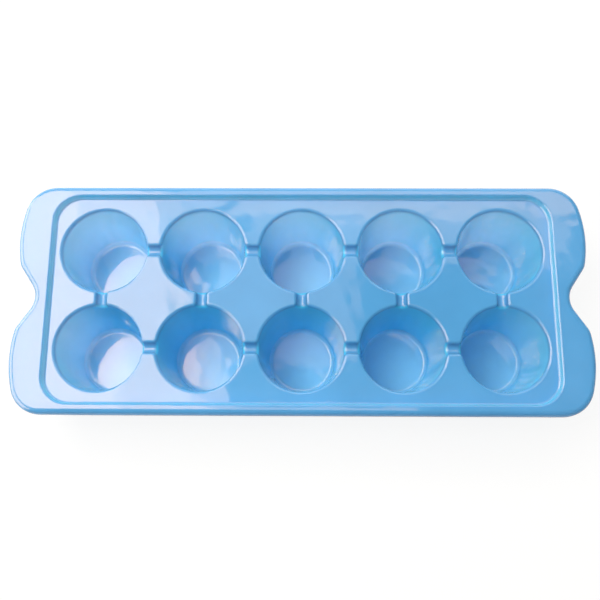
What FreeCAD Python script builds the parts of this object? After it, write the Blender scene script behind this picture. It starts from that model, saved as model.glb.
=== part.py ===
import FreeCAD, Part
import math
import os
from FreeCAD import Vector

# Ice cube tray, moulded in one piece. Millimetres, +Z up, long side along X.
# The origin is at the middle of the plane that the cups' bottoms stand on.

# Cups
columns = 5
rows = 2
cup_radius = 21.6           # at the field, where the wall would meet it sharp
cup_gap = 6.8               # web between neighbouring cups, on the same circle
cup_depth = 42.0            # field to cup floor
cup_draft = 5.9             # degrees from vertical
cup_floor_fillet = 2.2
cup_rim_fillet = 1.4
wall = 1.5                  # one thickness all over

# Overflow channels between neighbouring cups
channel_width = 5.4         # at the field
channel_depth = 4.0
channel_draft = 10.0        # degrees from vertical
channel_mouth_fillet = 2.0  # where a channel runs out into a cup

# Recessed field
end_margin = 3.7            # outer cups to the step, along X
side_margin = 5.8           # outer cups to the step, along Y
step_height = 3.5           # field to flange
step_draft = 10.0           # degrees from vertical
step_corner_radius = 13.0
step_foot_fillet = 1.2
step_top_fillet = 1.0

# Flange, ears and down-turned edge
side_flange = 5.1           # step to outer edge, along the long sides
ear_width = 16.9            # step to the ears' furthest point
corner_radius = 15.8
end_bow_radius = 62.0
end_bow_inset = 28.0        # long side to the ears' furthest point
shoulder_radius = 8.0
notch_depth = 10.2          # finger notch in the middle of each end
notch_radius = 11.0
notch_flank_angle = 34.0    # degrees from the Y axis
skirt_height = 5.0
edge_radius = 3.0           # outside of the bend from flange to skirt

pitch = 2 * cup_radius + cup_gap
field_z = wall + cup_depth
flange_z = field_z + step_height
cup_slope = math.tan(math.radians(cup_draft))
step_slope = math.tan(math.radians(step_draft))
cup_array_x = (columns - 1) / 2 * pitch + cup_radius
cup_array_y = (rows - 1) / 2 * pitch + cup_radius
field_x = cup_array_x + end_margin
field_y = cup_array_y + side_margin
half_length = field_x + step_height * step_slope + ear_width
half_width = field_y + step_height * step_slope + side_flange
overlap = wall / 2          # how far joined shapes run into each other


def cup_centres():
    """Axis of every cup, row by row."""
    return [Vector((i - (columns - 1) / 2) * pitch, (j - (rows - 1) / 2) * pitch, 0)
            for j in range(rows) for i in range(columns)]


def arc(centre, radius, start, end):
    """Arc about a centre, between two directions in radians."""
    points = [centre + Vector(math.cos(a), math.sin(a), 0) * radius
              for a in (start, (start + end) / 2, end)]
    return Part.Arc(*points).toShape()


def line(start, end):
    return Part.LineSegment(start, end).toShape()


def direction(start, end):
    return math.atan2(end.y - start.y, end.x - start.x)


def flange_outline(inset):
    """Flange outline at z = 0: straight sides, bowed ends and a finger notch in each end."""
    corner = Vector(0, half_width - corner_radius, 0)
    bow = Vector(half_length - end_bow_radius, half_width - end_bow_inset, 0)
    reach = end_bow_radius - corner_radius
    corner.x = bow.x + math.sqrt(reach ** 2 - (corner.y - bow.y) ** 2)
    notch = Vector(half_length - notch_depth + notch_radius, 0, 0)
    lean = math.radians(notch_flank_angle)
    flank = Vector(math.sin(lean), math.cos(lean), 0)
    inward = Vector(-math.cos(lean), math.sin(lean), 0)

    # The shoulder's centre lies on a line beside the flank, and inside the end bow.
    base = notch + inward * (notch_radius + shoulder_radius) - bow
    along = base.dot(flank)
    reach = end_bow_radius - shoulder_radius
    run = math.sqrt(along ** 2 - base.dot(base) + reach ** 2) - along
    shoulder = bow + base + flank * run

    to_corner = direction(bow, corner)
    to_shoulder = direction(bow, shoulder)
    to_flank = math.atan2(-inward.y, -inward.x)
    flank_foot = notch + inward * (notch_radius + inset)
    quarter = [
        line(Vector(0, half_width - inset, 0), Vector(corner.x, half_width - inset, 0)),
        arc(corner, corner_radius - inset, math.pi / 2, to_corner),
        arc(bow, end_bow_radius - inset, to_corner, to_shoulder),
        arc(shoulder, shoulder_radius - inset, to_shoulder, to_flank),
        line(flank_foot, flank_foot + flank * run),
        arc(notch, notch_radius + inset, math.pi - lean, math.pi),
    ]
    half = quarter + [edge.mirror(Vector(0, 0, 0), Vector(0, 1, 0)) for edge in quarter]
    whole = half + [edge.mirror(Vector(0, 0, 0), Vector(1, 0, 0)) for edge in half]
    return Part.Wire(Part.__sortEdges__(whole))


def prism(outline, low, high):
    """Upright solid on an outline drawn at z = 0."""
    face = Part.Face(outline)
    face.translate(Vector(0, 0, low))
    return face.extrude(Vector(0, 0, high - low)).removeSplitter()


def rounded_rectangle(half_x, half_y, radius, z):
    edges = []
    inner_x, inner_y = half_x - radius, half_y - radius
    corners = [Vector(inner_x, inner_y, z), Vector(-inner_x, inner_y, z),
               Vector(-inner_x, -inner_y, z), Vector(inner_x, -inner_y, z)]
    for turn, centre in enumerate(corners):
        start = turn * math.pi / 2
        edges.append(arc(centre, radius, start, start + math.pi / 2))
    for turn in range(4):
        edges.append(line(edges[turn].Vertexes[-1].Point, edges[(turn + 1) % 4].Vertexes[0].Point))
    return Part.Wire(Part.__sortEdges__(edges))


def edges_at(shape, z):
    """Edges that lie level at a height."""
    near = 1e-4
    return [e for e in shape.Edges
            if abs(e.BoundBox.ZMin - z) < near and abs(e.BoundBox.ZMax - z) < near]


def pan(offset, low, high, foot_fillet):
    """Tapered block of the recessed field, grown by an offset square to its sides."""
    grow = offset / math.cos(math.radians(step_draft))
    outlines = []
    for z in (low, high):
        out = grow + (z - field_z) * step_slope
        outlines.append(rounded_rectangle(field_x + out, field_y + out, step_corner_radius + out, z))
    block = Part.makeLoft(outlines, True, True)
    return block.makeFillet(foot_fillet, edges_at(block, low))


def cup(offset, low, high, foot_fillet):
    """Round tapered cup, grown by an offset square to its wall, with a filleted foot."""
    grow = offset / math.cos(math.radians(cup_draft))
    radii = [cup_radius + grow + (z - field_z) * cup_slope for z in (low, high)]
    profile = [Vector(0, 0, low), Vector(radii[0], 0, low), Vector(radii[1], 0, high), Vector(0, 0, high)]
    face = Part.Face(Part.makePolygon(profile + [profile[0]]))
    solid = face.revolve(Vector(0, 0, 0), Vector(0, 0, 1), 360)
    solid = solid.makeFillet(foot_fillet, edges_at(solid, low))
    solid.rotate(Vector(0, 0, 0), Vector(0, 0, 1), 45)
    return solid


def channel(offset, high, start, end):
    """Trough with a round floor between two cups' axes, grown by an offset square to its walls."""
    lean = math.radians(channel_draft)
    radius = (channel_width / 2 * math.cos(lean) - channel_depth * math.sin(lean)) / (1 - math.sin(lean))
    centre = Vector(0, 0, field_z - channel_depth + radius)
    radius += offset
    foot = centre + Vector(math.cos(lean), 0, -math.sin(lean)) * radius
    top = foot + Vector(math.tan(lean), 0, 1) * (high - foot.z)
    far_foot, far_top = Vector(-foot.x, 0, foot.z), Vector(-top.x, 0, top.z)
    floor = Part.Arc(foot, centre - Vector(0, 0, radius), far_foot).toShape()
    section = Part.Wire([floor, line(far_foot, far_top), line(far_top, top), line(top, foot)])
    trough = Part.Face(section).extrude(Vector(0, (end - start).Length, 0))
    trough.rotate(Vector(0, 0, 0), Vector(0, 0, 1), math.degrees(direction(start, end)) - 90)
    trough.translate(start)
    return trough


def channels(offset, high):
    """Channels along each row and across from row to row."""
    centres = cup_centres()
    joined = [(n, n + 1) for n in range(len(centres) - 1) if (n + 1) % columns]
    joined += [(n, n + columns) for n in range(len(centres) - columns)]
    return [channel(offset, high, centres[a], centres[b]) for a, b in joined]


def cups(offset, low, high, foot_fillet):
    template = cup(offset, low, high, foot_fillet)
    return [template.translated(centre) for centre in cup_centres()]


def body():
    """Everything that the walls enclose, before the upper side is sunk into it."""
    plate = prism(flange_outline(0), flange_z - skirt_height, flange_z)
    plate = plate.makeFillet(edge_radius, edges_at(plate, flange_z))
    under = prism(flange_outline(wall), flange_z - skirt_height - wall, flange_z - wall)
    plate = plate.cut(under.makeFillet(edge_radius - wall, edges_at(under, flange_z - wall)))
    block = pan(wall, field_z - wall, flange_z - overlap, step_foot_fillet + wall)
    shells = cups(wall, 0, field_z - overlap, cup_floor_fillet + wall)
    return plate.fuse([block] + shells + channels(wall, field_z - overlap)).removeSplitter()


def sunk():
    """The space above the field and inside the cups and channels."""
    block = pan(0, field_z, flange_z + overlap, step_foot_fillet)
    hollows = cups(0, wall, field_z + overlap, cup_floor_fillet)
    return block.fuse(hollows + channels(0, field_z + overlap)).removeSplitter()


def on_cup_wall(edge):
    """Whether an edge lies on the inner wall of a cup, all along."""
    first, last = edge.ParameterRange
    for step in range(5):
        point = edge.valueAt(first + (last - first) * step / 4)
        radius = cup_radius + (point.z - field_z) * cup_slope
        flat = Vector(point.x, point.y, 0)
        if min(abs(flat.distanceToPoint(c) - radius) for c in cup_centres()) > 1e-3:
            return False
    return True


def mouth_edges(shape):
    """Edges where the channels run out into the cups."""
    floor_z = field_z - channel_depth
    return [e for e in shape.Edges
            if e.BoundBox.ZMin > floor_z - 0.5 and e.BoundBox.ZMax < field_z + 1e-3
            and e.BoundBox.ZLength > 1e-3 and on_cup_wall(e)]


def rim_edges(shape):
    """Edges of the field along the cups and channels."""
    return [e for e in edges_at(shape, field_z)
            if max(abs(e.BoundBox.XMin), abs(e.BoundBox.XMax)) < cup_array_x + 1e-3
            and max(abs(e.BoundBox.YMin), abs(e.BoundBox.YMax)) < cup_array_y + 1e-3]


def step_edges(shape):
    """Edges of the flange along the top of the step."""
    inner_x = field_x + step_height * step_slope + 1e-3
    inner_y = field_y + step_height * step_slope + 1e-3
    return [e for e in edges_at(shape, flange_z)
            if max(abs(e.BoundBox.XMin), abs(e.BoundBox.XMax)) < inner_x
            and max(abs(e.BoundBox.YMin), abs(e.BoundBox.YMax)) < inner_y]


tray = body().cut(sunk())
tray = tray.makeFillet(channel_mouth_fillet, mouth_edges(tray))
tray = tray.makeFillet(cup_rim_fillet, rim_edges(tray))
tray = tray.makeFillet(step_top_fillet, step_edges(tray))

os.makedirs("parts", exist_ok=True)
tray.Solids[0].exportStep("parts/tray.step")
print("tray:", len(tray.Solids), "solid,", len(tray.Faces), "faces, volume", round(tray.Volume), "mm3")
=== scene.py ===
import math

import bpy
from mathutils import Matrix, Vector

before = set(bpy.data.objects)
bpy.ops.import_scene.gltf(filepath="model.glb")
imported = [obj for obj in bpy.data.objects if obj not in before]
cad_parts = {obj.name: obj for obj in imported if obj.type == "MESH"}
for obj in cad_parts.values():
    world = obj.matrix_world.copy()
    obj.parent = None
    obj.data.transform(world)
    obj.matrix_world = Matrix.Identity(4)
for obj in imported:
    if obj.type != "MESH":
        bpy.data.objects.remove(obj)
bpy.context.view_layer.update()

# Camera, fitted to the rims and floors of the cups in the photograph
FIELD_Z = 0.0435
CAMERA_TARGET = Vector((-0.00072, -0.00082, FIELD_Z))
CAMERA_DISTANCE = 0.3844
CAMERA_ELEVATION = math.radians(76.29)
CAMERA_AZIMUTH = math.radians(2.77)
CAMERA_ROLL = math.radians(-2.52)
FOCAL_PIXELS = 773.2
PHOTO_WIDTH = 600
SENSOR_WIDTH = 36.0
CLIP_START, CLIP_END = 0.01, 20

# Colours of the lamps
WARM = (1.0, 0.93, 0.82)
COOL = (0.9, 0.97, 1.0)
WHITE = (1.0, 1.0, 1.0)

# Panels level above the tray: name, middle across and along the view, width, depth (all as slopes
# from the tray), turn in degrees, radiance and colour. The fills only soften the shade, and have
# no reflection.
PANEL_Z = 0.8
LEVEL_PANELS = [
    ("softbox", -0.554, 0.273, 0.30, 0.87, 15.6, 10.5, WARM),
    ("softbox_right", -0.342, 0.332, 0.14, 0.87, 15.6, 8.3, WARM),
    ("softbox_edge", -0.255, 0.351, 0.045, 0.87, 15.6, 4.4, WARM),
    ("softbox_spill", -0.05, 0.24, 0.28, 0.24, 0, 1.6, WARM),
    ("back_glow", 0.15, 0.64, 0.80, 0.48, 0, 3.8, WARM),
    ("back_edge", 0.20, 0.35, 0.60, 0.10, 0, 1.8, WARM),
    ("front_glow", -0.20, -0.112, 0.80, 0.28, 0, 3.0, WARM),
    ("fill_left", -0.40, -0.15, 1.00, 0.50, 0, 0.9, COOL),
    ("fill_right", 0.65, -0.15, 0.50, 0.60, 0, 1.0, COOL),
    ("fill_front", 0.0, -0.80, 1.40, 0.80, 0, 1.1, COOL),
]

# Upright panels: name, middle, the point that they face, width, height, radiance and colour. The
# walls' light comes through the outer cups. The glint gives no diffuse light: it is only mirrored,
# by bends and rims in the photograph's view, and by the flats too in low views from the right.
UPRIGHT_PANELS = [
    ("back_wall", (0, 0.80, 0.24), (0, 0, 0.1), 1.8, 0.45, 1.8, WHITE),
    ("left_wall", (-0.90, 0, 0.24), (0, 0, 0.1), 1.2, 0.45, 0.5, WHITE),
    ("left_glint", (-0.90, 0, 0.42), (0, 0, 0.04), 1.6, 0.80, 8.5, WARM),
]
ROOM_STRENGTH = 0.05

# White paper, a hair below the cups
PAPER_HALF_SIZE = 4.0
PAPER_Z = -0.0001
PAPER_COLOR = (0.9, 0.9, 0.9, 1)
PAPER_ROUGHNESS = 0.9
PAPER_GLOW = 0.87           # share of the paper that the camera sees as plain white

# Plastic. The cups' walls hold painted light: paler than the flange, for the light that comes
# through them. The cups' floors are painted paler still, for light from the white paper.
PLASTIC_IOR = 1.58
PLASTIC_SPECULAR_TINT = (1, 0.68, 0.48, 1)
SUBSURFACE_RADIUS = (1.4, 1.1, 1.1)
SUBSURFACE_SCALE = 0.02
FLANGE_SUBSURFACE = 0.1
WALL_SUBSURFACE = 0.4
FLANGE_COLOR = (0.075, 0.295, 0.60, 1)
# Wall and floor colours are paler than the plastic's own flange colour: painted light.
WALL_COLOR_WITH_PAINTED_LIGHT = (0.06, 0.55, 0.93, 1)
FLOOR_COLOR_WITH_PAINTED_LIGHT = (0.21, 0.58, 0.92, 1)

# Heights between which the colours of floor, wall and flange run into each other
FLOOR_FULL_Z = 0.0016
FLOOR_TOP_Z = 0.006
WALL_FULL_Z = 0.0395
WALL_TOP_Z = 0.0436

# The painted-light wall colour also fades out over the rim, round every cup's axis
CUP_PITCH = 0.05
RIM_INNER = 0.0213
RIM_OUTER = 0.0226

# The step round the field takes some of the paler wall colour, painted light on its shaded
# wall. Its box ends short of the outer bend.
STEP_Z = 0.04525
STEP_FULL = 0.0009          # how far above and below its middle it has all of that share
STEP_END = 0.0017
STEP_TONE = 0.3
STEP_X = 0.127
STEP_Y = 0.0545

# Noise in the plastic: how many bumps to the metre, and how many finer levels
CLOUD_SCALE, CLOUD_DETAIL = 35, 3
CLOUD_VALUES = 0.95, 1.05
POLISH_SCALE, POLISH_DETAIL = 120, 5
POLISH_ROUGHNESS = 0.03, 0.08
WAVE_SCALE, WAVE_DETAIL = 70, 1
WAVE_STRENGTH = 0.25
WAVE_HEIGHT = 0.0008
NOISE_LOW, NOISE_HIGH = 0.3, 0.7

WELD_DISTANCE = 1e-6


def make_camera():
    data = bpy.data.cameras.new("camera")
    camera = bpy.data.objects.new("camera", data)
    bpy.context.scene.collection.objects.link(camera)
    level = math.cos(CAMERA_ELEVATION)
    back = Vector((
        math.sin(CAMERA_AZIMUTH) * level,
        -math.cos(CAMERA_AZIMUTH) * level,
        math.sin(CAMERA_ELEVATION),
    ))
    right = Vector((math.cos(CAMERA_AZIMUTH), math.sin(CAMERA_AZIMUTH), 0))
    up = back.cross(right)
    turned = Matrix((
        right * math.cos(CAMERA_ROLL) + up * math.sin(CAMERA_ROLL),
        up * math.cos(CAMERA_ROLL) - right * math.sin(CAMERA_ROLL),
        back,
    )).transposed()
    place = Matrix.Translation(CAMERA_TARGET + back * CAMERA_DISTANCE)
    camera.matrix_world = place @ turned.to_4x4()
    data.sensor_width = SENSOR_WIDTH
    data.lens = FOCAL_PIXELS / PHOTO_WIDTH * SENSOR_WIDTH
    data.clip_start, data.clip_end = CLIP_START, CLIP_END
    bpy.context.scene.camera = camera


def area_light(name, location, target, width, height, radiance, color):
    """Rectangular lamp facing a target, with the radiance of its surface."""
    data = bpy.data.lights.new(name, "AREA")
    data.shape = "RECTANGLE"
    data.size, data.size_y = width, height
    data.energy = radiance * math.pi * width * height
    data.color = color
    light = bpy.data.objects.new(name, data)
    light.location = location
    facing = Vector(target) - Vector(location)
    light.rotation_euler = facing.to_track_quat("-Z", "Y").to_euler()
    light.visible_camera = False
    bpy.context.scene.collection.objects.link(light)
    return light


def make_lights():
    for name, x, y, width, depth, turn, radiance, color in LEVEL_PANELS:
        x, y, width, depth = (value * PANEL_Z for value in (x, y, width, depth))
        panel = area_light(name, (x, y, PANEL_Z), (x, y, 0), width, depth, radiance, color)
        panel.rotation_euler = (0, 0, math.radians(turn))
        panel.visible_glossy = not name.startswith("fill")
    for name, *values in UPRIGHT_PANELS:
        panel = area_light(name, *values)
        panel.visible_diffuse = not name.endswith("glint")


def mixed_shader(tree, share, first, second):
    """First shader, with a share of the second."""
    node = tree.nodes.new("ShaderNodeMixShader")
    for socket, value in zip(node.inputs, (share, first, second)):
        tree.links.new(value, socket)
    return node.outputs["Shader"]


def mixed_color(tree, share, first, second):
    """First colour, with a share of the second, which may come from a node."""
    node = tree.nodes.new("ShaderNodeMix")
    node.data_type = "RGBA"
    node.inputs["A"].default_value = first
    if isinstance(second, tuple):
        node.inputs["B"].default_value = second
    else:
        tree.links.new(second, node.inputs["B"])
    tree.links.new(share, node.inputs["Factor"])
    return node.outputs["Result"]


def math_node(tree, operation, *values):
    """Result of an operation on numbers and sockets."""
    node = tree.nodes.new("ShaderNodeMath")
    node.operation = operation
    for socket, value in zip(node.inputs, values):
        if isinstance(value, (int, float)):
            socket.default_value = value
        else:
            tree.links.new(value, socket)
    return node.outputs["Value"]


def ramp(tree, value, start, end, low=0, high=1, interpolation="LINEAR"):
    """Number that goes from low to high while a value goes from start to end."""
    node = tree.nodes.new("ShaderNodeMapRange")
    node.interpolation_type = interpolation
    limits = {"From Min": start, "From Max": end, "To Min": low, "To Max": high}
    for name, limit in limits.items():
        node.inputs[name].default_value = limit
    tree.links.new(value, node.inputs["Value"])
    return node.outputs["Result"]


def noise(tree, place, scale, detail):
    node = tree.nodes.new("ShaderNodeTexNoise")
    node.inputs["Scale"].default_value = scale
    node.inputs["Detail"].default_value = detail
    tree.links.new(place, node.inputs["Vector"])
    return node.outputs["Fac"]


def make_room():
    """Surroundings that are white to the camera and dim to the tray."""
    world = bpy.data.worlds.new("room")
    bpy.context.scene.world = world
    world.use_nodes = True
    nodes, links = world.node_tree.nodes, world.node_tree.links
    lit = nodes["Background"]
    seen = nodes.new("ShaderNodeBackground")
    for background, strength in ((lit, ROOM_STRENGTH), (seen, 1)):
        background.inputs["Color"].default_value = (*WHITE, 1)
        background.inputs["Strength"].default_value = strength
    rays = nodes.new("ShaderNodeLightPath")
    surface = mixed_shader(
        world.node_tree, rays.outputs["Is Camera Ray"],
        lit.outputs["Background"], seen.outputs["Background"])
    links.new(surface, nodes["World Output"].inputs["Surface"])


def paper():
    """White paper, mostly plain white to the camera, that keeps a faint shadow.

    It is clear from below, so that the underside of the tray can be seen.
    """
    material = bpy.data.materials.new("paper")
    material.use_nodes = True
    tree = material.node_tree
    shader = tree.nodes["Principled BSDF"]
    shader.inputs["Base Color"].default_value = PAPER_COLOR
    shader.inputs["Roughness"].default_value = PAPER_ROUGHNESS
    glow = tree.nodes.new("ShaderNodeEmission")
    clear = tree.nodes.new("ShaderNodeBsdfTransparent")
    rays = tree.nodes.new("ShaderNodeLightPath")
    sides = tree.nodes.new("ShaderNodeNewGeometry")
    share = math_node(tree, "MULTIPLY", rays.outputs["Is Camera Ray"], PAPER_GLOW)
    above = mixed_shader(tree, share, shader.outputs["BSDF"], glow.outputs["Emission"])
    surface = mixed_shader(tree, sides.outputs["Backfacing"], above, clear.outputs["BSDF"])
    tree.links.new(surface, tree.nodes["Material Output"].inputs["Surface"])
    return material


def make_floor():
    half = PAPER_HALF_SIZE
    corners = [(-half, -half, 0), (half, -half, 0), (half, half, 0), (-half, half, 0)]
    mesh = bpy.data.meshes.new("floor")
    mesh.from_pydata(corners, [], [(0, 1, 2, 3)])
    mesh.materials.append(paper())
    floor = bpy.data.objects.new("floor", mesh)
    floor.location.z = PAPER_Z
    bpy.context.scene.collection.objects.link(floor)


def off_cups(tree, position):
    """0 inside the rim of every cup, where the wall colour's painted light goes, 1 past it."""
    half = CUP_PITCH / 2
    x = math_node(tree, "WRAP", position.outputs["X"], half, -half)
    y = math_node(tree, "SUBTRACT", math_node(tree, "ABSOLUTE", position.outputs["Y"]), half)
    squares = [math_node(tree, "MULTIPLY", value, value) for value in (x, y)]
    distance_squared = math_node(tree, "ADD", *squares)
    return ramp(tree, distance_squared, RIM_INNER ** 2, RIM_OUTER ** 2, interpolation="SMOOTHSTEP")


def off_step(tree, position):
    """Low on the step round the field, where painted light goes, 1 on the flats and on the outer
    bend.
    """
    x, y = (math_node(tree, "ABSOLUTE", position.outputs[axis]) for axis in "XY")
    past_field = math_node(tree, "SUBTRACT", x, STEP_X - STEP_Y)
    outward = math_node(tree, "MAXIMUM", past_field, y)
    outside = math_node(tree, "GREATER_THAN", outward, STEP_Y)
    off_middle = math_node(tree, "SUBTRACT", position.outputs["Z"], STEP_Z)
    off_middle = math_node(tree, "ABSOLUTE", off_middle)
    band = ramp(tree, off_middle, STEP_FULL, STEP_END, low=STEP_TONE, interpolation="SMOOTHSTEP")
    return math_node(tree, "MAXIMUM", band, outside)


def plastic():
    """Glossy, slightly translucent moulded plastic."""
    material = bpy.data.materials.new("tray_plastic")
    material.use_nodes = True
    tree = material.node_tree
    links = tree.links
    shader = tree.nodes["Principled BSDF"]
    shader.inputs["IOR"].default_value = PLASTIC_IOR
    shader.inputs["Specular Tint"].default_value = PLASTIC_SPECULAR_TINT
    shader.inputs["Subsurface Radius"].default_value = SUBSURFACE_RADIUS
    shader.inputs["Subsurface Scale"].default_value = SUBSURFACE_SCALE

    place = tree.nodes.new("ShaderNodeTexCoord").outputs["Object"]
    position = tree.nodes.new("ShaderNodeSeparateXYZ")
    links.new(place, position.inputs["Vector"])
    height = position.outputs["Z"]
    above_walls = ramp(tree, height, WALL_FULL_Z, WALL_TOP_Z, interpolation="SMOOTHSTEP")
    flange = math_node(tree, "MAXIMUM", off_cups(tree, position), above_walls)
    # Painted light: the shaded step takes some of the paler wall colour.
    flange = math_node(tree, "MULTIPLY", flange, off_step(tree, position))
    subsurface = ramp(tree, flange, 0, 1, WALL_SUBSURFACE, FLANGE_SUBSURFACE)
    links.new(subsurface, shader.inputs["Subsurface Weight"])
    above_floors = ramp(tree, height, FLOOR_FULL_Z, FLOOR_TOP_Z, interpolation="SMOOTHSTEP")
    # Painted light: walls, floors and step take paler colours than the flange.
    tone_with_painted_light = mixed_color(tree, flange, WALL_COLOR_WITH_PAINTED_LIGHT, FLANGE_COLOR)
    tone_with_painted_light = mixed_color(tree, above_floors, FLOOR_COLOR_WITH_PAINTED_LIGHT, tone_with_painted_light)

    # Slow clouds in the pigment, a few centimetres across
    clouds = noise(tree, place, CLOUD_SCALE, CLOUD_DETAIL)
    color = tree.nodes.new("ShaderNodeHueSaturation")
    links.new(tone_with_painted_light, color.inputs["Color"])
    depth = ramp(tree, clouds, NOISE_LOW, NOISE_HIGH, *CLOUD_VALUES)
    links.new(depth, color.inputs["Value"])
    links.new(color.outputs["Color"], shader.inputs["Base Color"])

    # Polish that differs from place to place
    polish = noise(tree, place, POLISH_SCALE, POLISH_DETAIL)
    roughness = ramp(tree, polish, NOISE_LOW, NOISE_HIGH, *POLISH_ROUGHNESS)
    links.new(roughness, shader.inputs["Roughness"])

    # Waviness left by shrinkage in the mould
    bump = tree.nodes.new("ShaderNodeBump")
    bump.inputs["Strength"].default_value = WAVE_STRENGTH
    bump.inputs["Distance"].default_value = WAVE_HEIGHT
    links.new(noise(tree, place, WAVE_SCALE, WAVE_DETAIL), bump.inputs["Height"])
    links.new(bump.outputs["Normal"], shader.inputs["Normal"])
    return material


def dress_tray():
    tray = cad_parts["tray"]
    tray.data.materials[0] = plastic()
    weld = tray.modifiers.new("weld", "WELD")
    weld.merge_threshold = WELD_DISTANCE
    tray.modifiers.new("normals", "WEIGHTED_NORMAL")


make_camera()
make_lights()
make_room()
make_floor()
dress_tray()

bpy.context.scene.view_settings.view_transform = "Standard"
